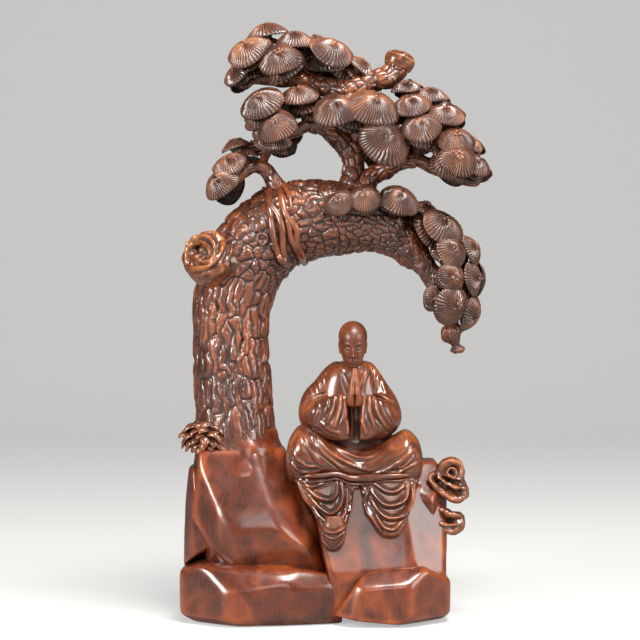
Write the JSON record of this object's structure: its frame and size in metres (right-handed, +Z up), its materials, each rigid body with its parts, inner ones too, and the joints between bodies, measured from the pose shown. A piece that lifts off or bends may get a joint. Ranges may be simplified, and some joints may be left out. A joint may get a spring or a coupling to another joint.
{
  "type": "okimono carving",
  "caption": "Carved boxwood okimono: a gnarled pine with needle fans leans over a seated monk in prayer on a faceted rock base.",
  "frame": {"origin": "on the surface it stands on, under the middle of its overall width and of its rock base's depth", "axes": "+Z up; the figure faces -Y, towards the viewer; +X to the viewer's right"},
  "size_m": [0.1048, 0.054, 0.1997],
  "materials": {
    "rock_lacquer": "polished, glossy reddish-brown lacquer with darker creases",
    "bark_lacquer": "glossy reddish-brown lacquer over carved bark, dark in the grooves",
    "knot_lacquer": "polished orange-brown end grain",
    "needle_lacquer": "satin reddish-brown lacquer on ribbed fans, dark between ribs",
    "vine_lacquer": "glossy reddish-brown lacquer",
    "fungus_lacquer": "glossy reddish-brown lacquer, orange on the rims",
    "skin_lacquer": "smooth glossy reddish-brown lacquer",
    "robe_lacquer": "glossy reddish-brown lacquer, orange on the fold ridges",
    "plain_wood": "bare turned wood"
  },
  "bodies": {
    "root": {"ledge_stone_left": "rock_lacquer", "ledge_stone_right": "rock_lacquer", "ledge_stone_back": "rock_lacquer", "shoulder_stone": "rock_lacquer", "slab_stone": "rock_lacquer", "seat_stone": "rock_lacquer", "rear_stone": "rock_lacquer", "crag_stone": "rock_lacquer", "trunk": "bark_lacquer", "trunk_burl": "knot_lacquer", "riser_branch": "bark_lacquer", "upright_branch": "bark_lacquer", "crown_branch": "bark_lacquer", "snag_cap": "knot_lacquer", "right_branch": "bark_lacquer", "crown_bough": "needle_lacquer", "crown_upper_bough": "needle_lacquer", "tier_bough": "needle_lacquer", "tier_right_bough": "needle_lacquer", "left_bough": "needle_lacquer", "right_bough": "needle_lacquer", "right_upper_bough": "needle_lacquer", "front_bough": "needle_lacquer", "droop_bough": "needle_lacquer", "vine_inner": "vine_lacquer", "vine_outer": "vine_lacquer", "shelf_fungus_upper": "fungus_lacquer", "shelf_fungus_lower": "fungus_lacquer", "shelf_fungus_stem": "fungus_lacquer", "scaled_tuft": "fungus_lacquer", "scaled_tuft_stem": "fungus_lacquer", "robe_torso": "robe_lacquer", "robe_collar": "robe_lacquer", "robe_lap": "robe_lacquer", "robe_hem": "robe_lacquer", "robe_drape_left": "robe_lacquer", "robe_drape_right": "robe_lacquer", "sleeve_left": "robe_lacquer", "sleeve_right": "robe_lacquer", "hand_left": "skin_lacquer", "hand_right": "skin_lacquer", "head": "skin_lacquer", "foot_left": "skin_lacquer", "figure_dowel": "plain_wood"}
  },
  "joints": []
}
